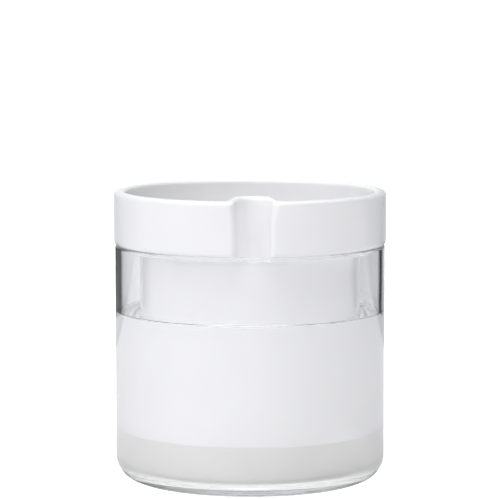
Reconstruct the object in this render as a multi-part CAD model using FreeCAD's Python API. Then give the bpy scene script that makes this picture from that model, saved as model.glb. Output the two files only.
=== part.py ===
import FreeCAD, Part
import math
import os

# Self watering planter: a white ceramic pot hangs by its collar on the rim of a clear glass reservoir.
# Units are millimetres. The origin is the centre of the glass base on the surface it stands on, +Z is up
# and the fill channel faces -Y.

# Glass reservoir
glass_diameter = 150.6
glass_height = 132.0
glass_wall = 3.0
glass_base_thickness = 7.0
glass_outer_corner = 14.0
glass_floor_corner = 7.5
glass_rim_flat = 0.6

# Pot collar, which hangs on the glass rim
collar_height = 30.0
collar_overhang = 0.7
collar_wall = 6.5
collar_lower_edge = 2.2
rim_rounding = 2.4
seat_clearance = 0.1

# Step under the collar, which centres the pot in the glass
step_depth = 3.0
step_clearance = 0.8
step_edge = 1.2
neck_fillet = 3.0

# Pot body, which stands in the water
water_gap = 10.8
body_wall = 6.0
shoulder_thickness = 6.5
shoulder_rounding = 3.0
foot_clearance = 0.5
floor_thickness = 7.0
foot_edge = 3.0
floor_corner = 8.0
unglazed_height = 20.0

# Fill channel down the front of the collar. Its back stands a little outside the body, its lip rises
# above the rim over lip_width, and lip_slope is the run on each side that brings it back to the rim.
channel_width = 19.0
channel_wall = 5.4
channel_back_offset = 0.4
channel_edge = 2.6
channel_web_fillet = 4.0
lip_rise = 1.8
lip_width = 10.0
lip_slope = 9.5

# Radii and heights that follow from the sizes above
glass_outer = glass_diameter / 2
glass_inner = glass_outer - glass_wall
glass_rim_rounding = (glass_wall - glass_rim_flat) / 2
collar_outer = glass_outer + collar_overhang
collar_inner = collar_outer - collar_wall
step_outer = glass_inner - step_clearance
body_outer = glass_inner - water_gap
body_inner = body_outer - body_wall
channel_radius = channel_width / 2
channel_centre = body_outer + channel_back_offset + channel_radius
seat_z = glass_height + seat_clearance
step_z = seat_z - step_depth
shoulder_z = seat_z + shoulder_thickness
rim_z = seat_z + collar_height
lip_z = rim_z + lip_rise
foot_z = glass_base_thickness + foot_clearance
floor_z = foot_z + floor_thickness
glaze_z = foot_z + unglazed_height

# Cutting tools run this far past the faces that they cut
overrun = 5.0

# Edges are picked by their place and direction, within these margins (millimetres, and radians for an angle)
height_margin = 0.1
length_margin = 0.01
level_margin = 0.01
least_corner_angle = 0.2

ORIGIN = FreeCAD.Vector(0, 0, 0)
UP = FreeCAD.Vector(0, 0, 1)
BACK = FreeCAD.Vector(0, 1, 0)


def arc_wire(corners):
    """A closed wire through corners given as (point, rounding), with a tangent arc at each rounding."""
    edges = []
    starts = []
    ends = []
    for index, (here, rounding) in enumerate(corners):
        if rounding == 0:
            starts.append(here)
            ends.append(here)
            continue
        towards_before = (corners[index - 1][0] - here).normalize()
        towards_after = (corners[(index + 1) % len(corners)][0] - here).normalize()
        half_angle = towards_before.getAngle(towards_after) / 2
        setback = rounding / math.tan(half_angle)
        bisector = (towards_before + towards_after).normalize()
        middle = here + bisector * (rounding / math.sin(half_angle) - rounding)
        starts.append(here + towards_before * setback)
        ends.append(here + towards_after * setback)
        edges.append(Part.Arc(starts[-1], middle, ends[-1]).toShape())
    for index, end in enumerate(ends):
        start = starts[(index + 1) % len(starts)]
        edges.append(Part.LineSegment(end, start).toShape())
    return Part.Wire(Part.__sortEdges__(edges))


def turned(outline):
    """A solid turned about Z from corners given as (radius, height, rounding)."""
    corners = [(FreeCAD.Vector(radius, 0, height), rounding) for radius, height, rounding in outline]
    return Part.Face(arc_wire(corners)).revolve(ORIGIN, UP, 360)


def upright_slot(radius, bottom, top):
    """A round-backed slot of this radius about the channel's centre, open towards the front."""
    front = collar_outer + overrun
    back_point = FreeCAD.Vector(0, radius - channel_centre, bottom)
    left = FreeCAD.Vector(-radius, -channel_centre, bottom)
    right = FreeCAD.Vector(radius, -channel_centre, bottom)
    left_front = FreeCAD.Vector(-radius, -front, bottom)
    right_front = FreeCAD.Vector(radius, -front, bottom)
    edges = [
        Part.Arc(left, back_point, right).toShape(),
        Part.LineSegment(right, right_front).toShape(),
        Part.LineSegment(right_front, left_front).toShape(),
        Part.LineSegment(left_front, left).toShape(),
    ]
    return Part.Face(Part.Wire(edges)).extrude(UP * (top - bottom))


def s_curve(low, high):
    """Two equal arcs between points at different heights, level at both ends."""
    run = abs(high.x - low.x)
    rise = high.z - low.z
    radius = (run * run + rise * rise) / (4 * rise)
    half_turn = math.asin(run / 2 / radius) / 2
    side = math.copysign(1, high.x - low.x)
    sideways = radius * math.sin(half_turn) * side
    upward = radius * (1 - math.cos(half_turn))
    middle = (low + high) / 2
    low_bend = FreeCAD.Vector(low.x + sideways, low.y, low.z + upward)
    high_bend = FreeCAD.Vector(high.x - sideways, high.y, high.z - upward)
    return [Part.Arc(low, low_bend, middle).toShape(), Part.Arc(middle, high_bend, high).toShape()]


def above_the_rim():
    """What lies above the top of the collar: level all round, with a smooth rise over the channel."""
    reach = collar_outer + overrun
    roof_z = lip_z + overrun
    flat = lip_width / 2
    foot = flat + lip_slope

    def at(x, z):
        return FreeCAD.Vector(x, -reach, z)

    edges = [Part.LineSegment(at(-reach, rim_z), at(-foot, rim_z)).toShape()]
    edges += s_curve(at(-foot, rim_z), at(-flat, lip_z))
    edges.append(Part.LineSegment(at(-flat, lip_z), at(flat, lip_z)).toShape())
    edges += s_curve(at(foot, rim_z), at(flat, lip_z))
    edges.append(Part.LineSegment(at(foot, rim_z), at(reach, rim_z)).toShape())
    edges.append(Part.LineSegment(at(reach, rim_z), at(reach, roof_z)).toShape())
    edges.append(Part.LineSegment(at(reach, roof_z), at(-reach, roof_z)).toShape())
    edges.append(Part.LineSegment(at(-reach, roof_z), at(-reach, rim_z)).toShape())
    front = Part.Face(Part.Wire(Part.__sortEdges__(edges))).extrude(BACK * reach)
    rear = Part.makeBox(2 * reach, reach, roof_z - rim_z, FreeCAD.Vector(-reach, 0, rim_z))
    return front, rear


def glass_reservoir():
    """Clear glass cylinder with a thick base, rounded corners and a fire-polished rim."""
    return turned(
        [
            (0, 0, 0),
            (glass_outer, 0, glass_outer_corner),
            (glass_outer, glass_height, glass_rim_rounding),
            (glass_inner, glass_height, glass_rim_rounding),
            (glass_inner, glass_base_thickness, glass_floor_corner),
            (0, glass_base_thickness, 0),
        ]
    )


def side_face(face):
    """True for an upright face: a plane or cylinder whose normals all lie level."""
    surface = face.Surface
    if isinstance(surface, Part.Plane):
        return abs(surface.Axis.z) < level_margin
    return isinstance(surface, Part.Cylinder) and abs(surface.Axis.z) > 1 - level_margin


def upright_edges(shape):
    """The straight upright edges where two upright faces meet at a corner."""
    found = []
    for edge in shape.Edges:
        box = edge.BoundBox
        faces = shape.ancestorsOfType(edge, Part.Face)
        if box.XLength < length_margin and box.YLength < length_margin and len(faces) == 2:
            normals = [face.normalAt(*face.Surface.parameter(edge.CenterOfMass)) for face in faces]
            if normals[0].getAngle(normals[1]) > least_corner_angle:
                found.append(edge)
    return found


def end_edges(shape, low, high):
    """The edges between these heights where an upright face meets the top or the bottom of a shape."""
    found = []
    for edge in shape.Edges:
        box = edge.BoundBox
        if box.ZMin > low - height_margin and box.ZMax < high + height_margin:
            faces = shape.ancestorsOfType(edge, Part.Face)
            if sum(side_face(face) for face in faces) == 1 and len(faces) == 2:
                found.append(edge)
    return found


def level_block(radius, slot_radius, bottom, top, corner):
    """A disc with the channel's slot out of its front, and the two corners of the slot's mouth rounded."""
    block = Part.makeCylinder(radius, top - bottom, FreeCAD.Vector(0, 0, bottom), UP)
    block = block.cut(upright_slot(slot_radius, bottom - overrun, top + overrun))
    return block.makeFillet(corner, upright_edges(block))


def collar():
    """The collar and its floor, with the channel down its front and a rounded rim."""
    top = lip_z + overrun
    outside = level_block(collar_outer, channel_radius, seat_z, top, channel_edge)
    outside = outside.makeFillet(collar_lower_edge, end_edges(outside, seat_z, seat_z))
    inside = level_block(collar_inner, channel_radius + channel_wall, shoulder_z, top, channel_web_fillet)
    inside = inside.makeFillet(shoulder_rounding, end_edges(inside, shoulder_z, shoulder_z))
    ring = outside.cut(inside)
    for above in above_the_rim():
        ring = ring.cut(above)
    ring = ring.removeSplitter()
    return ring.makeFillet(rim_rounding, end_edges(ring, rim_z, lip_z))


def body():
    """The body, neck and centring step below the collar, filled solid, with the channel let in."""
    outside = turned(
        [
            (0, foot_z, 0),
            (body_outer, foot_z, foot_edge),
            (body_outer, step_z, neck_fillet),
            (step_outer, step_z, step_edge),
            (step_outer, seat_z, 0),
            (0, seat_z, 0),
        ]
    )
    return outside.cut(upright_slot(channel_radius, step_z - neck_fillet - overrun, seat_z + overrun))


def body_bore():
    """The hollow of the body, up through the collar's floor."""
    return turned(
        [
            (0, floor_z, 0),
            (body_inner, floor_z, floor_corner),
            (body_inner, shoulder_z, 0),
            (0, shoulder_z, 0),
        ]
    )


def shoulder_edge():
    """What rounds the edge of the body bore, short of the wall behind the channel."""
    centre = FreeCAD.Vector(0, 0, shoulder_z - shoulder_rounding)
    middle_radius = body_inner + shoulder_rounding
    ring = Part.makeCylinder(middle_radius, shoulder_rounding, centre, UP)
    ring = ring.cut(Part.makeCylinder(body_inner, shoulder_rounding, centre, UP))
    ring = ring.cut(Part.makeTorus(middle_radius, shoulder_rounding, centre, UP))
    web = channel_radius + channel_wall + shoulder_rounding
    return ring.cut(upright_slot(web, centre.z - overrun, shoulder_z + overrun))


def ceramic_pot():
    """The pot, cast in one, and divided at the glaze line into its glazed and its unglazed part."""
    pot = collar().fuse(body()).cut(body_bore()).cut(shoulder_edge()).removeSplitter()
    corner = FreeCAD.Vector(-collar_outer, -collar_outer, glaze_z)
    above_glaze_line = Part.makeBox(2 * collar_outer, 2 * collar_outer, lip_z, corner)
    return pot.common(above_glaze_line), pot.cut(above_glaze_line)


glazed_pot, porous_base = ceramic_pot()
nodes = {
    "glass_reservoir": glass_reservoir(),
    "glazed_pot": glazed_pot,
    "porous_base": porous_base,
}

os.makedirs("parts", exist_ok=True)
for name, shape in nodes.items():
    solids = shape.Solids
    if len(solids) != 1 or not solids[0].isValid():
        raise ValueError(name + " is not one valid solid")
    solids[0].exportStep("parts/" + name + ".step")
    box = solids[0].optimalBoundingBox(False)
    size = " x ".join(str(round(length, 2)) for length in (box.XLength, box.YLength, box.ZLength))
    print(name, size, "mm, volume", round(solids[0].Volume), "mm3")
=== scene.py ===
import bmesh
import bpy
import math
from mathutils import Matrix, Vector


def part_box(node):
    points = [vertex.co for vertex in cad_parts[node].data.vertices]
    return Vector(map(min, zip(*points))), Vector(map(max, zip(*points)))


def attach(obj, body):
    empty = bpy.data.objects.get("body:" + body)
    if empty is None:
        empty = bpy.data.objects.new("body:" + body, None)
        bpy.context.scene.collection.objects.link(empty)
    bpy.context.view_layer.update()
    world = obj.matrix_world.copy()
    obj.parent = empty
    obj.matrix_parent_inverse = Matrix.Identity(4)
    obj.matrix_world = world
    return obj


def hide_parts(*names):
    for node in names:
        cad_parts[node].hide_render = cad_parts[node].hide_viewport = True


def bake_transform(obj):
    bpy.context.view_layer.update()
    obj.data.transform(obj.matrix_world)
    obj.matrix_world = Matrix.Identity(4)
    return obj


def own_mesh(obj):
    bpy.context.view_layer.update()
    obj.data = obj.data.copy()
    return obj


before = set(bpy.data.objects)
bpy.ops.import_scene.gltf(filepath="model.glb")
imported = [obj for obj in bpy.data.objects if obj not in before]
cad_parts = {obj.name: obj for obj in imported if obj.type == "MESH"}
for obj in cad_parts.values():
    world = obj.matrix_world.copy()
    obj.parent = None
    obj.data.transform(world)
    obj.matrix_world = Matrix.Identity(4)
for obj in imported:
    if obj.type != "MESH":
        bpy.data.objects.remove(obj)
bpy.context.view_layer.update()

# Self watering planter: a glazed ceramic pot with a porous base hangs in a clear glass reservoir of water.
# Everything is in metres in the frame's own place: +Z up, the fill channel towards -Y.

MM = 0.001

# ------------------------------------------------------------------ sizes, from the frame where it has them
glass_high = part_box("glass_reservoir")[1]
pot_low, pot_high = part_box("glazed_pot")
foot_low, foot_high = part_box("porous_base")

GLASS_OUTER = glass_high.x
GLASS_TOP = glass_high.z
GLASS_WALL = 3.0 * MM
GLASS_INNER = GLASS_OUTER - GLASS_WALL
GLASS_FLOOR = foot_low.z - 0.5 * MM
GLASS_OUTER_CORNER = 14 * MM
GLASS_FLOOR_CORNER = 7.5 * MM
GLASS_RIM_ROUNDING = 1.2 * MM
GLASS_UNDERSIDE_HOLLOW = 0.8 * MM
GLASS_FLOOR_DISH = 0.6 * MM

COLLAR_OUTER = pot_high.x
COLLAR_WALL = 6.5 * MM
COLLAR_LOWER_EDGE = 2.2 * MM
COLLAR_INNER = COLLAR_OUTER - COLLAR_WALL
LIP_RISE = 1.8 * MM
LIP_HALF_WIDTH = 14.5 * MM
LIP_SLOPE = 7 * MM
RIM_Z = pot_high.z - LIP_RISE
SEAT_Z = GLASS_TOP + 0.1 * MM
RIM_OUTER_ROUNDING = 2.6 * MM
RIM_INNER_ROUNDING = 2.4 * MM

BODY_OUTER = foot_high.x
BODY_WALL = 6 * MM
BODY_INNER = BODY_OUTER - BODY_WALL
SHOULDER_Z = SEAT_Z + 6.5 * MM
SHOULDER_ROUNDING = 3 * MM
SHOULDER_RADII = (62 * MM, 59.5 * MM)
LIP_START_Z = SHOULDER_Z + 4 * MM
STEP_OUTER = GLASS_INNER - 0.8 * MM
STEP_Z = SEAT_Z - 3 * MM
STEP_EDGE = 1.2 * MM
NECK_FILLET = 3 * MM
FLAT_MARGIN = 6 * MM
BODY_MIDDLE = 40 * MM
BORE_MARGIN = 20 * MM
GLAZE_Z = pot_low.z
GLAZE_THICKNESS = 0.1 * MM
GLAZE_SWELL = 0.12 * MM
GLAZE_FULL = 0.5 * MM
FROM_GLAZE_LINE = 1 * MM
POT_FLOOR_Z = foot_low.z + 7 * MM
POT_FLOOR_CORNER = 8 * MM
FOOT_EDGE = 3 * MM

CHANNEL_HALF_WIDTH = 9.5 * MM
CHANNEL_BACK = BODY_OUTER + 0.4 * MM
CHANNEL_CENTRE = CHANNEL_BACK + CHANNEL_HALF_WIDTH
CHANNEL_WALL = 5.4 * MM
CHANNEL_EDGE = 2.4 * MM
CHANNEL_TOP_EDGE = 4.2 * MM
CHANNEL_TOP_FLARE = 0.3 * MM
CHANNEL_TOP_SWELL = 1.4 * MM
CHANNEL_FLARE_DEPTH = 13 * MM
CHANNEL_WEB_FILLET = 4 * MM
CHANNEL_SLANT = math.radians(18)
CHANNEL_START = 1.6
CHANNEL_OVER_BORE = 0.4 * MM
QUARTER_PULL = 0.55

WATER_Z = 94.3 * MM
WATER_OVERLAP = 0.4 * MM
WATER_INSIDE = BODY_OUTER - 1.5 * MM
WATER_UNDER_POT = foot_low.z + 1.5 * MM
WATER_LEFT_SHARE = 0.28
LIFT = 150 * MM
MENISCUS_RISE = 1.3 * MM
MENISCUS_REACH = 0.9 * MM
MENISCUS_AT_POT = 0.8
WATER_TOP_LOW = foot_low.z + 3 * MM
WATER_TOP_HIGH = WATER_TOP_LOW + 0.5 * MM

TURNS = 288
LONG_STEP = 4 * MM
EASE = 0.15 * MM
WELD_REACH = 0.001 * MM


def smooth(t):
    """A smooth step from 0 to 1."""
    t = min(1.0, max(0.0, t))
    return t * t * (3 - 2 * t)


def smooth_place(value):
    """The place between 0 and 1 where the smooth step reaches this value."""
    return 0.5 - math.sin(math.asin(1 - 2 * value) / 3)


def spread(count, start=0.0, end=1.0):
    """Evenly spaced values, both ends included."""
    return [start + (end - start) * index / (count - 1) for index in range(count)]


def round_corner(centre_r, centre_z, radius, start, end, count=10, height=None):
    """Points of an arc in the profile plane, from start to end degrees; height makes it an ellipse."""
    tall = radius if height is None else height
    points = []
    for angle in spread(count, math.radians(start), math.radians(end)):
        points.append((centre_r + radius * math.cos(angle), centre_z + tall * math.sin(angle)))
    return points


# ------------------------------------------------------------------ meshes
def mesh_object(name, points, faces, materials, face_slots=None):
    """A smooth-shaded object from points and faces, with one or more materials."""
    mesh = bpy.data.meshes.new(name)
    mesh.from_pydata(points, [], faces)
    for material in materials:
        mesh.materials.append(material)
    if face_slots:
        mesh.polygons.foreach_set("material_index", face_slots)
    mesh.validate()
    mesh.polygons.foreach_set("use_smooth", [True] * len(mesh.polygons))
    piece = bpy.data.objects.new(name, mesh)
    bpy.context.scene.collection.objects.link(piece)
    return piece


def eased(profile):
    """The profile with a point just inside both ends of its long steps, so that they are shaded flat."""
    points = []
    for start, end in zip(profile, profile[1:]):
        points.append(start)
        length = math.dist(start, end)
        if length > LONG_STEP:
            for share in (EASE / length, 1 - EASE / length):
                points.append(tuple(a + (b - a) * share for a, b in zip(start, end)))
    return points + [profile[-1]]


def turned(name, shape, materials, slot_of=None, turns=TURNS):
    """A closed solid turned from a profile that starts and ends on the axis, outer side first."""
    profile = eased(shape)
    rings = profile[1:-1]
    points = [(0.0, 0.0, profile[0][1])]
    for radius, height in rings:
        for turn in range(turns):
            angle = 2 * math.pi * turn / turns
            points.append((radius * math.cos(angle), radius * math.sin(angle), height))
    points.append((0.0, 0.0, profile[-1][1]))
    last = len(points) - 1
    steps = [slot_of(start, end) if slot_of else 0 for start, end in zip(profile, profile[1:])]
    faces = []
    for turn in range(turns):
        after = (turn + 1) % turns
        faces.append((0, 1 + after, 1 + turn))
        for ring in range(len(rings) - 1):
            low = 1 + ring * turns
            high = low + turns
            faces.append((low + turn, low + after, high + after, high + turn))
        top = 1 + (len(rings) - 1) * turns
        faces.append((top + turn, top + after, last))
    return mesh_object(name, points, faces, materials, steps * turns)


# ------------------------------------------------------------------ shader maths
class Wire:
    """A socket in a node tree. Ordinary maths on it adds Math nodes, and add() adds any other node."""

    def __init__(self, tree, socket=None):
        self.tree = tree
        self.socket = socket

    def add(self, kind, settings, sockets, output=0):
        """A new node: its settings are set first, then the values or wires of its sockets."""
        node = self.tree.nodes.new(kind)
        for name, value in settings.items():
            setattr(node, name, value)
        for name, value in sockets.items():
            if isinstance(value, Wire):
                self.tree.links.new(value.socket, node.inputs[name])
            else:
                node.inputs[name].default_value = value
        return Wire(self.tree, node.outputs[output]) if node.outputs else None

    def maths(self, operation, *values):
        return self.add("ShaderNodeMath", {"operation": operation}, dict(enumerate(values)))

    def __add__(self, other):
        return self.maths("ADD", self, other)

    def __sub__(self, other):
        return self.maths("SUBTRACT", self, other)

    def __rsub__(self, other):
        return self.maths("SUBTRACT", other, self)

    def __mul__(self, other):
        return self.maths("MULTIPLY", self, other)

    __radd__ = __add__
    __rmul__ = __mul__

    def between(self, low, high):
        """0 below low, 1 above high, smooth between."""
        settings = {"interpolation_type": "SMOOTHSTEP"}
        return self.add("ShaderNodeMapRange", settings, {"Value": self, "From Min": low, "From Max": high})

    def blend(self, first, second):
        """The first colour where this is 0 and the second where it is 1."""
        return self.add("ShaderNodeMix", {"data_type": "RGBA"}, {0: self, 6: first, 7: second}, output=2)


def new_material(name):
    """A material with an empty tree, and a wire to build in it."""
    material = bpy.data.materials.new(name)
    material.use_nodes = True
    material.node_tree.nodes.clear()
    return material, Wire(material.node_tree)


def place(wire):
    """The object's own coordinates, in metres."""
    return wire.add("ShaderNodeTexCoord", {}, {}, output=3)


def part_of(wire, vector, number):
    """One part of a vector: 0 for x, 1 for y, 2 for z."""
    return wire.add("ShaderNodeSeparateXYZ", {}, {"Vector": vector}, output=number)


def measure(wire, operation, first, second):
    """One number from two vectors, such as their distance or dot product."""
    return wire.add("ShaderNodeVectorMath", {"operation": operation}, {0: first, 1: second}, output=1)


def noise(wire, where, size, detail=2.0, roughness=0.5):
    """Cloudy noise with features of about this size in metres."""
    sockets = {"Vector": where, "Scale": 1 / size, "Detail": detail, "Roughness": roughness}
    return wire.add("ShaderNodeTexNoise", {}, sockets)


def bump(wire, height, depth, strength=1.0):
    """A normal from a height between 0 and 1 that stands for this depth in metres."""
    return wire.add("ShaderNodeBump", {}, {"Height": height, "Distance": depth, "Strength": strength})


def surface(wire, **sockets):
    """A Principled surface with these sockets, on the material's output."""
    named = {name.replace("_", " "): value for name, value in sockets.items()}
    shader = wire.add("ShaderNodeBsdfPrincipled", {}, named)
    wire.add("ShaderNodeOutputMaterial", {}, {"Surface": shader})
    return shader


def white_glaze():
    """Glossy white tin glaze, a little uneven in gloss, with the faint ripple of a fired surface."""
    material, wire = new_material("white_glaze")
    where = place(wire)
    cloud = noise(wire, where, 30 * MM)
    ripple = noise(wire, where, 7 * MM, detail=1.0)
    surface(
        wire,
        Base_Color=cloud.blend((0.885, 0.885, 0.895, 1), (0.915, 0.915, 0.922, 1)),
        Roughness=0.09 + 0.06 * noise(wire, where, 12 * MM),
        Normal=bump(wire, ripple, 0.04 * MM),
        IOR=1.45,
        Coat_Weight=0.15,
        Coat_Roughness=0.03,
    )
    return material


def bare_clay():
    """Unglazed porous ceramic: pale, matte and finely grained."""
    material, wire = new_material("bare_clay")
    where = place(wire)
    cloud = noise(wire, where, 22 * MM, detail=4.0)
    grain = noise(wire, where, 0.9 * MM, detail=3.0, roughness=0.7)
    tone = cloud.blend((0.80, 0.795, 0.78, 1), (0.84, 0.836, 0.822, 1))
    surface(
        wire,
        Base_Color=(0.35 * grain).blend(tone, (0.70, 0.69, 0.67, 1)),
        Roughness=0.7 + 0.25 * grain,
        Normal=bump(wire, grain, 0.12 * MM),
        IOR=1.45,
    )
    return material


def clear_surface(wire, ior, normal):
    """A clear refracting surface. Light on its way to what is inside passes straight through it."""
    named = {"Base Color": (1, 1, 1, 1), "Roughness": 0.0, "IOR": ior, "Transmission Weight": 1.0}
    refracting = wire.add("ShaderNodeBsdfPrincipled", {}, {**named, "Normal": normal})
    clear = wire.add("ShaderNodeBsdfTransparent", {}, {})
    to_lamp = wire.add("ShaderNodeLightPath", {}, {}, output="Is Shadow Ray")
    to_matte = wire.add("ShaderNodeLightPath", {}, {}, output="Is Diffuse Ray")
    lighting = to_lamp.maths("MAXIMUM", to_lamp, to_matte)
    return wire.add("ShaderNodeMixShader", {}, {0: lighting, 1: refracting, 2: clear})


def clear_glass():
    """Clear soda-lime glass with the slow waviness of a blown wall and a trace of green in its depth."""
    material, wire = new_material("clear_glass")
    waviness = bump(wire, noise(wire, place(wire), 45 * MM, detail=0.0), 0.12 * MM)
    depth = wire.add("ShaderNodeVolumeAbsorption", {}, {"Color": (0.72, 0.94, 0.88, 1), "Density": 0.9})
    sockets = {"Surface": clear_surface(wire, 1.5, waviness), "Volume": depth}
    wire.add("ShaderNodeOutputMaterial", {}, sockets)
    return material


def still_water():
    """Clear water with a barely rippled top."""
    material, wire = new_material("still_water")
    ripple = bump(wire, noise(wire, place(wire), 30 * MM, detail=0.0), 0.05 * MM)
    wire.add("ShaderNodeOutputMaterial", {}, {"Surface": clear_surface(wire, 1.333, ripple)})
    return material


def unseen_wall():
    """The side of the water that lies against the pot, which nothing shows."""
    material, wire = new_material("water_against_pot")
    clear = wire.add("ShaderNodeBsdfTransparent", {}, {})
    wire.add("ShaderNodeOutputMaterial", {}, {"Surface": clear})
    return material


# ------------------------------------------------------------------ glass reservoir
def glass_profile():
    """The section of the glass from the middle of its underside round to the middle of its floor."""
    inset = GLASS_OUTER - GLASS_OUTER_CORNER
    underside = []
    for share in spread(12)[:-1]:
        radius = inset * share
        underside.append((radius, GLASS_UNDERSIDE_HOLLOW * (1 - smooth(share))))
    outer_corner = round_corner(inset, GLASS_OUTER_CORNER, GLASS_OUTER_CORNER, -90, 0, 22)
    rim = GLASS_RIM_ROUNDING
    outer_rim = round_corner(GLASS_OUTER - rim, GLASS_TOP - rim, rim, 0, 90, 8)
    inner_rim = round_corner(GLASS_INNER + rim, GLASS_TOP - rim, rim, 90, 180, 8)
    corner = GLASS_FLOOR_CORNER
    floor_edge = GLASS_INNER - corner
    inner_corner = round_corner(floor_edge, GLASS_FLOOR + corner, corner, 0, -90, 16)
    floor = []
    for share in spread(12, 1.0, 0.0)[1:]:
        floor.append((floor_edge * share, GLASS_FLOOR - GLASS_FLOOR_DISH * (1 - smooth(share))))
    return underside + outer_corner + outer_rim + inner_rim + inner_corner + floor


def glass_reservoir():
    piece = turned("reservoir_glass", glass_profile(), [clear_glass()])
    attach(piece, "reservoir")
    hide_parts("glass_reservoir")
    return piece


# ------------------------------------------------------------------ water
def water_profile():
    """The section of the water."""
    wall = GLASS_INNER + WATER_OVERLAP
    floor = GLASS_FLOOR - GLASS_FLOOR_DISH - WATER_OVERLAP
    corner = GLASS_FLOOR_CORNER
    profile = [(0.0, floor)]
    for share in spread(6)[1:-1]:
        profile.append(((wall - corner) * share, floor + GLASS_FLOOR_DISH * smooth(share)))
    corner_z = GLASS_FLOOR - WATER_OVERLAP + corner
    profile += round_corner(wall - corner, corner_z, corner, -90, 0, 14)
    for share in spread(40):
        radius = wall + (WATER_INSIDE - wall) * (0.5 - 0.5 * math.cos(math.pi * share))
        at_glass = math.exp(-(GLASS_INNER - min(radius, GLASS_INNER)) / MENISCUS_REACH)
        at_pot = math.exp(-(max(radius, BODY_OUTER) - BODY_OUTER) / MENISCUS_REACH)
        profile.append((radius, WATER_Z + MENISCUS_RISE * (at_glass + MENISCUS_AT_POT * at_pot)))
    return profile + [(WATER_INSIDE, WATER_UNDER_POT), (0.0, WATER_UNDER_POT)]


def water():
    """The water round the pot."""
    def slot_of(start, end):
        inside = max(start[0], end[0]) < WATER_INSIDE + EASE
        return 1 if inside and min(start[1], end[1]) > WATER_UNDER_POT - EASE else 0

    piece = turned("reservoir_water", water_profile(), [still_water(), unseen_wall()], slot_of)
    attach(piece, "reservoir")
    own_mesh(piece)
    return piece


def water_top():
    """The water's top where the pot stood. It hides in the pot's floor."""
    radius = BODY_INNER + 3 * MM
    low = WATER_TOP_LOW
    high = WATER_TOP_HIGH
    profile = [(0.0, low), (radius, low), (radius, high), (0.0, high)]
    piece = turned("reservoir_water_top", profile, [still_water()])
    lowered = GLASS_FLOOR + WATER_LEFT_SHARE * (WATER_Z - GLASS_FLOOR)
    share = smooth_place((lowered - high) / LIFT)
    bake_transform(piece)
    return piece


# ------------------------------------------------------------------ ceramic pot
RING_STEPS = 120
CORNER_STEPS = 9
FLANK_STEPS = 4
BACK_STEPS = 16


def half_stations():
    """The stations of half a plan outline, from the back of the pot round to the channel's middle."""
    stations = [("ring", share) for share in spread(RING_STEPS)]
    stations += [("corner", share) for share in spread(CORNER_STEPS + 1)[1:]]
    stations += [("flank", share) for share in spread(FLANK_STEPS + 1)[1:]]
    stations += [("back", share) for share in spread(BACK_STEPS + 1)[1:]]
    return stations


def polar(radius, angle):
    """A plan point at this angle from the channel, towards +X."""
    return (radius * math.sin(angle), -radius * math.cos(angle))


def outer_point(station, radius, half_width, edge, back):
    """A point of the collar's outline with the channel let into its front."""
    part, share = station
    centre_x = half_width + edge
    centre_y = math.sqrt((radius - edge) ** 2 - centre_x**2)
    turn = math.atan2(centre_x, centre_y)
    if part == "ring":
        return polar(radius, math.pi + (turn - math.pi) * share)
    start = turn - math.pi / 2
    end = CHANNEL_SLANT - math.pi
    if part == "corner":
        angle = start + (end - start) * share
        return (centre_x + edge * math.cos(angle), -centre_y + edge * math.sin(angle))
    first = Vector((centre_x + edge * math.cos(end), -centre_y + edge * math.sin(end)))
    middle = Vector((0.0, -back))
    slanted = Vector((-math.sin(CHANNEL_SLANT), math.cos(CHANNEL_SLANT))) * (middle.y - first.y)
    pull = Vector((first.x, 0.0))
    whole = FLANK_STEPS + BACK_STEPS
    t = share * FLANK_STEPS / whole if part == "flank" else (FLANK_STEPS + share * BACK_STEPS) / whole
    points = (first, first + QUARTER_PULL * slanted, middle + QUARTER_PULL * pull, middle)
    weights = ((1 - t) ** 3, 3 * t * (1 - t) ** 2, 3 * t**2 * (1 - t), t**3)
    return tuple(sum((weight * point for weight, point in zip(weights, points)), Vector((0.0, 0.0))))


def inner_point(station, radius, half_width, web):
    """A point of the collar bore's outline, which bends in round the channel's wall."""
    part, share = station
    reach = radius - web
    across = (reach**2 + CHANNEL_CENTRE**2 - (half_width + web) ** 2) / (2 * reach * CHANNEL_CENTRE)
    turn = math.acos(across)
    centre_x, centre_y = polar(reach, turn)
    if part == "ring":
        return polar(radius, math.pi + (turn - math.pi) * share)
    if part in ("corner", "flank"):
        whole = CORNER_STEPS + FLANK_STEPS
        steps = share * CORNER_STEPS if part == "corner" else CORNER_STEPS + share * FLANK_STEPS
        start = turn - math.pi / 2
        end = math.atan2(-CHANNEL_CENTRE - centre_y, -centre_x)
        angle = start + (end - start) * steps / whole
        return (centre_x + web * math.cos(angle), centre_y + web * math.sin(angle))
    start = math.atan2(CHANNEL_CENTRE + centre_y, centre_x)
    angle = start + (math.pi / 2 - start) * share
    return (half_width * math.cos(angle), -CHANNEL_CENTRE + half_width * math.sin(angle))


def within(station, point, corner_x, radius, keep_inside):
    """Pulls a plan point onto a circle: from outside it, or from inside too where nothing is kept."""
    part, share = station
    if part == "ring":
        turn = math.asin(corner_x / radius)
        return polar(radius, math.pi + (turn - math.pi) * share)
    x, y = point
    if keep_inside and math.hypot(x, y) <= radius:
        return point
    return (x, -math.sqrt(radius**2 - x**2))


def outside(point, least):
    """Pushes a plan point out to this radius if it lies within it."""
    radius = math.hypot(*point)
    return point if radius >= least else tuple(value * least / radius for value in point)


def raised(x, y, z):
    """Height with the lip's rise over the channel added near the rim."""
    if y > 0:
        return z
    across = smooth((LIP_HALF_WIDTH - abs(x)) / LIP_SLOPE)
    upward = smooth((z - LIP_START_Z) / (RIM_Z - LIP_START_Z))
    return z + LIP_RISE * across * upward


def glaze_edge(angle):
    """Height of the glaze line, which wanders a little round the pot."""
    return GLAZE_Z + MM * (0.16 * math.sin(3 * angle + 0.6) + 0.10 * math.sin(8 * angle + 2.0))


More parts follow.
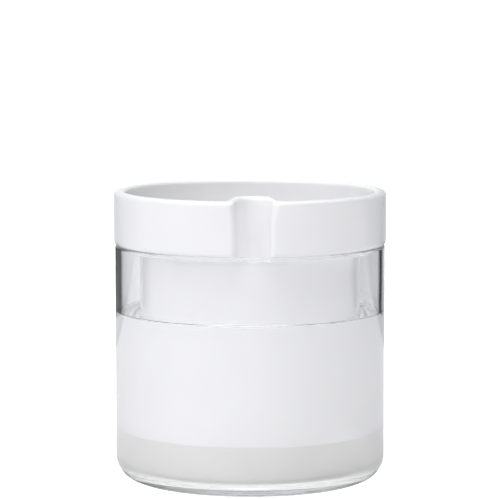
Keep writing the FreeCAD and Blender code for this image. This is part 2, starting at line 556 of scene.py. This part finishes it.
def outer_rows():
    """Rows of the pot's outside from the glaze line up to the crown of the rim, each a list of points.

    The first rows give their height above the glaze line, which wanders. They are lower than FROM_GLAZE_LINE.
    """
    stations = half_stations()
    base = [outer_point(s, COLLAR_OUTER, CHANNEL_HALF_WIDTH, CHANNEL_EDGE, CHANNEL_BACK) for s in stations]
    corner_x = base[RING_STEPS - 1][0]

    def round_row(radius, z, clip):
        return [(*within(s, p, corner_x, radius, clip), z) for s, p in zip(stations, base)]

    rows = [round_row(BODY_OUTER - GLAZE_THICKNESS, 0.0, False)]
    rows.append(round_row(BODY_OUTER - 0.3 * GLAZE_THICKNESS, GLAZE_SWELL, False))
    rows.append(round_row(BODY_OUTER, GLAZE_FULL, False))
    neck_z = STEP_Z - NECK_FILLET
    for z in (GLAZE_Z + FLAT_MARGIN, GLAZE_Z + BODY_MIDDLE, neck_z - FLAT_MARGIN):
        rows.append(round_row(BODY_OUTER, z, False))
    for radius, z in round_corner(BODY_OUTER + NECK_FILLET, neck_z, NECK_FILLET, 180, 90, 9):
        rows.append(round_row(radius, z, True))
    for radius, z in round_corner(STEP_OUTER - STEP_EDGE, STEP_Z + STEP_EDGE, STEP_EDGE, -90, 0, 6):
        rows.append(round_row(radius, z, True))
    rows.append(round_row(STEP_OUTER, SEAT_Z, True))
    edge = COLLAR_LOWER_EDGE
    for radius, z in round_corner(COLLAR_OUTER - edge, SEAT_Z + edge, edge, -90, 0, 9):
        rows.append(round_row(radius, z, True))
    straight_top = RIM_Z - RIM_OUTER_ROUNDING
    for z in spread(14, SEAT_Z + CHANNEL_START * edge, straight_top):
        rows.append(channel_row(stations, 0.0, z))
    for angle in spread(9, 0, math.pi / 2)[1:]:
        inward = RIM_OUTER_ROUNDING * (1 - math.cos(angle))
        rows.append(channel_row(stations, inward, straight_top + RIM_OUTER_ROUNDING * math.sin(angle)))
    return rows


def toward_rim(z):
    """0 well below the rim and 1 at its crown, for what flares out round the channel."""
    return smooth((z - RIM_Z + CHANNEL_FLARE_DEPTH) / CHANNEL_FLARE_DEPTH)


def channel_row(stations, inward, z):
    """A row of the collar's outside, set in from its face, with the channel flaring towards the rim."""
    flare = toward_rim(z)
    half_width = CHANNEL_HALF_WIDTH + CHANNEL_TOP_FLARE * flare + inward
    edge = CHANNEL_EDGE + (CHANNEL_TOP_EDGE - CHANNEL_EDGE) * flare
    back = CHANNEL_BACK - inward
    return [(*outer_point(s, COLLAR_OUTER - inward, half_width, edge, back), z) for s in stations]


def inner_rows():
    """Rows of the pot's inside from the crown of the rim down to the glaze line."""
    stations = half_stations()
    bulge = CHANNEL_HALF_WIDTH + CHANNEL_WALL

    def bore_row(outward, z):
        radius = COLLAR_INNER + outward
        swollen = bulge + CHANNEL_TOP_SWELL * toward_rim(z) - outward
        points = [inner_point(s, radius, swollen, CHANNEL_WEB_FILLET + outward) for s in stations]
        return [(*outside(point, BODY_INNER + CHANNEL_OVER_BORE), z) for point in points]

    rows = []
    rounding = RIM_INNER_ROUNDING
    for angle in spread(9, math.pi / 2, 0):
        rows.append(bore_row(rounding * (1 - math.cos(angle)), RIM_Z - rounding * (1 - math.sin(angle))))
    for z in spread(8, RIM_Z - rounding, SHOULDER_Z + SHOULDER_ROUNDING)[1:]:
        rows.append(bore_row(0.0, z))
    for angle in spread(8, 0, math.pi / 2)[1:]:
        inward = SHOULDER_ROUNDING * (1 - math.cos(angle))
        rows.append(bore_row(-inward, SHOULDER_Z + SHOULDER_ROUNDING * (1 - math.sin(angle))))
    base = [point[:2] for point in rows[-1]]
    corner_x = base[RING_STEPS - 1][0]

    def round_row(radius, z, clip):
        return [(*within(s, p, corner_x, radius, clip), z) for s, p in zip(stations, base)]

    for radius in SHOULDER_RADII:
        rows.append(round_row(radius, SHOULDER_Z, True))
    rounding = SHOULDER_ROUNDING
    for radius, z in round_corner(BODY_INNER + rounding, SHOULDER_Z - rounding, rounding, 90, 180, 8):
        rows.append(round_row(radius, z, True))
    for z in (SHOULDER_Z - BORE_MARGIN, GLAZE_Z + 1.5 * BORE_MARGIN, GLAZE_Z + GLAZE_FULL):
        rows.append(round_row(BODY_INNER, z, False))
    rows.append(round_row(BODY_INNER + GLAZE_THICKNESS, 0.0, False))
    return rows


def glazed_pot():
    """The glazed part of the pot: one skin from the glaze line outside, over the rim, and down inside."""
    rows = outer_rows() + inner_rows()
    points = []
    for row in rows:
        loop = row + [(-x, y, z) for x, y, z in reversed(row[1:-1])]
        for x, y, z in loop:
            angle = math.atan2(y, x)
            height = z + glaze_edge(angle) if z < FROM_GLAZE_LINE else z
            points.append((x, y, raised(x, y, height)))
    count = 2 * len(rows[0]) - 2
    faces = []
    for row in range(len(rows)):
        low = row * count
        high = (row + 1) % len(rows) * count
        for index in range(count):
            after = (index + 1) % count
            faces.append((low + after, low + index, high + index, high + after))
    piece = mesh_object("pot_glazed", points, faces, [white_glaze()])
    weld(piece)
    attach(piece, "pot")
    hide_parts("glazed_pot")
    return piece


def weld(piece):
    """Joins points that lie on each other and drops the faces that this closes up."""
    work = bmesh.new()
    work.from_mesh(piece.data)
    bmesh.ops.remove_doubles(work, verts=work.verts, dist=WELD_REACH)
    bmesh.ops.dissolve_degenerate(work, edges=work.edges, dist=WELD_REACH)
    bmesh.ops.recalc_face_normals(work, faces=work.faces)
    work.to_mesh(piece.data)
    work.free()


def porous_base():
    """The unglazed bottom of the pot, a cup whose wall runs a little way up inside the glazed part."""
    outer = BODY_OUTER - GLAZE_THICKNESS
    inner = BODY_INNER + GLAZE_THICKNESS
    top = GLAZE_Z + 0.8 * MM
    low = foot_low.z
    profile = [(0.0, low)]
    profile += round_corner(outer - FOOT_EDGE, low + FOOT_EDGE, FOOT_EDGE, -90, 0, 10)
    profile += [(outer, top), (inner, top)]
    corner = POT_FLOOR_CORNER
    profile += round_corner(inner - corner, POT_FLOOR_Z + corner, corner, 0, -90, 12)
    profile.append((0.0, POT_FLOOR_Z))
    piece = turned("pot_porous_base", profile, [bare_clay()])
    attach(piece, "pot")
    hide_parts("porous_base")
    return piece


# ------------------------------------------------------------------ studio
KEY_FROM = (-0.643, -0.766, 0.1)
KEY_LIGHT = 0.955
FILL_LIGHT = 0.255
LEAST_LIGHT = 0.02
OVERHEAD_LIGHT = 2.0
TABLE_REACH = 25.0
TABLE_DROP = 0.2 * MM
CARD_Y = 10 * MM
BACKDROP_Y = 0.5
BACKDROP_HALF_WIDTH = 1.6
BACKDROP_HEIGHT = 0.9
EYE_REACH = 1.585
EYE_TURN = math.radians(1.35)
EYE_HEIGHT = 0.302
AIM_HEIGHT = 0.1286


def pool(wire, middle, near, far):
    """1 round this place on the object and 0 beyond the far distance."""
    return 1.0 - measure(wire, "DISTANCE", place(wire), middle).between(near, far)


def floor():
    """The white table that the planter stands on, plain white where it is seen bare.

    Glass sees more of it: a glow under the foot, a painted shadow as a dark ring round the foot, and a glow
    to the right.
    """
    reach = TABLE_REACH
    z = -TABLE_DROP
    points = [(-reach, -reach, z), (reach, -reach, z), (reach, reach, z), (-reach, reach, z)]
    material, wire = new_material("white_table")
    bare = wire.add("ShaderNodeLightPath", {}, {}, output="Is Camera Ray")
    centre = (0, 0, 0)
    # Painted shadow: a dark ring on the table round the glass's foot, seen by all rays but the camera's, so
    # the glass's lower outline shows dark.
    ring = pool(wire, centre, 74 * MM, 78 * MM) * (1.0 - pool(wire, centre, 64 * MM, 68 * MM))
    off_camera_paint_with_shadow_ring = ring.blend((0.86, 0.86, 0.87, 1), (0.1, 0.1, 0.1, 1))
    paint = bare.blend(off_camera_paint_with_shadow_ring, (1.5, 1.5, 1.5, 1))
    matte = wire.add("ShaderNodeBsdfDiffuse", {}, {"Color": paint})
    under_glass = pool(wire, centre, 60 * MM, 68 * MM)
    to_the_right = pool(wire, (0.17, -0.04, 0), 50 * MM, 130 * MM)
    glow = 0.78 * under_glass + 0.32 * to_the_right
    lamp = wire.add("ShaderNodeEmission", {}, {"Color": (0.97, 0.98, 1.0, 1), "Strength": glow})
    both = wire.add("ShaderNodeAddShader", {}, {0: matte, 1: lamp})
    wire.add("ShaderNodeOutputMaterial", {}, {"Surface": both})
    piece = mesh_object("table_top", points, [(0, 1, 2, 3)], [material])


def lit_card(name, points, tone, wire, material):
    """A glowing card that only glass and gloss can see. Cards draw the edges of the glass."""
    glow = wire.add("ShaderNodeEmission", {}, {"Color": (0.94, 0.96, 1.0, 1), "Strength": tone})
    wire.add("ShaderNodeOutputMaterial", {}, {"Surface": glow})
    piece = mesh_object(name, points, [(0, 1, 2, 3)], [material])
    piece.visible_camera = False
    piece.visible_diffuse = False
    piece.visible_shadow = False


def edge_card(name, near, far, tone):
    """A narrow upright card close beside the glass, which darkens its very edge above the water."""
    top = GLASS_TOP - 1 * MM
    low = WATER_Z - 5 * MM
    points = [(near, CARD_Y, low), (far, CARD_Y, low), (far, CARD_Y, top), (near, CARD_Y, top)]
    material, wire = new_material(name)
    lit_card(name, points, tone, wire, material)


def backdrop():
    """A wide bright card behind the planter, which falls off to each side."""
    far = BACKDROP_HALF_WIDTH
    y = BACKDROP_Y
    top = BACKDROP_HEIGHT
    points = [(-far, y, 0.0), (far, y, 0.0), (far, y, top), (-far, y, top)]
    material, wire = new_material("backdrop")
    across = part_of(wire, place(wire), 0)
    left = (across * -1.0).between(0.08, 0.24)
    right = across.between(0.07, 0.13)
    away = across.maths("ABSOLUTE", across).between(0.24, 0.40)
    tone = 0.92 - 0.28 * left - 0.32 * right - 0.22 * away
    lit_card("backdrop", points, tone, wire, material)


def sky():
    """Soft light: a wide key from the left of the front, little from the right, and a lamp overhead."""
    world = bpy.data.worlds.new("studio")
    world.use_nodes = True
    world.node_tree.nodes.clear()
    wire = Wire(world.node_tree)
    direction = wire.add("ShaderNodeTexCoord", {}, {}, output=0)
    key = Vector(KEY_FROM).normalized()
    toward_key = measure(wire, "DOT_PRODUCT", direction, key)
    behind = part_of(wire, direction, 1).between(-0.2, 0.5)
    overhead = part_of(wire, direction, 2).between(0.6, 1.0)
    around = (FILL_LIGHT + KEY_LIGHT * toward_key) * (1.0 - 0.7 * behind)
    light = around.maths("MAXIMUM", around, LEAST_LIGHT) + OVERHEAD_LIGHT * overhead
    background = wire.add("ShaderNodeBackground", {}, {"Color": (0.985, 0.985, 1.0, 1), "Strength": light})
    wire.add("ShaderNodeOutputWorld", {}, {"Surface": background})
    bpy.context.scene.world = world


def camera():
    """A long lens a little above the planter, turned so that the channel sits just right of the middle."""
    data = bpy.data.cameras.new("camera")
    data.sensor_width = 36.0
    data.lens = 205.3
    eye = bpy.data.objects.new("camera", data)
    eye.location = (-EYE_REACH * math.sin(EYE_TURN), -EYE_REACH * math.cos(EYE_TURN), EYE_HEIGHT)
    aim = Vector((0.0, 0.0, AIM_HEIGHT))
    eye.rotation_euler = (aim - eye.location).to_track_quat("-Z", "Y").to_euler()
    bpy.context.scene.collection.objects.link(eye)
    bpy.context.scene.camera = eye


camera()
sky()
floor()
edge_card("left_edge_card", -77.2 * MM, -97 * MM, 0.10)
edge_card("right_edge_card", 84.5 * MM, 97 * MM, 0.02)
backdrop()
glass_reservoir()
water()
water_top()
glazed_pot()
porous_base()
bpy.context.scene.view_settings.view_transform = "Standard"
paths = bpy.context.scene.cycles
paths.max_bounces = 48
paths.transmission_bounces = 48
paths.diffuse_bounces = 16
paths.glossy_bounces = 24
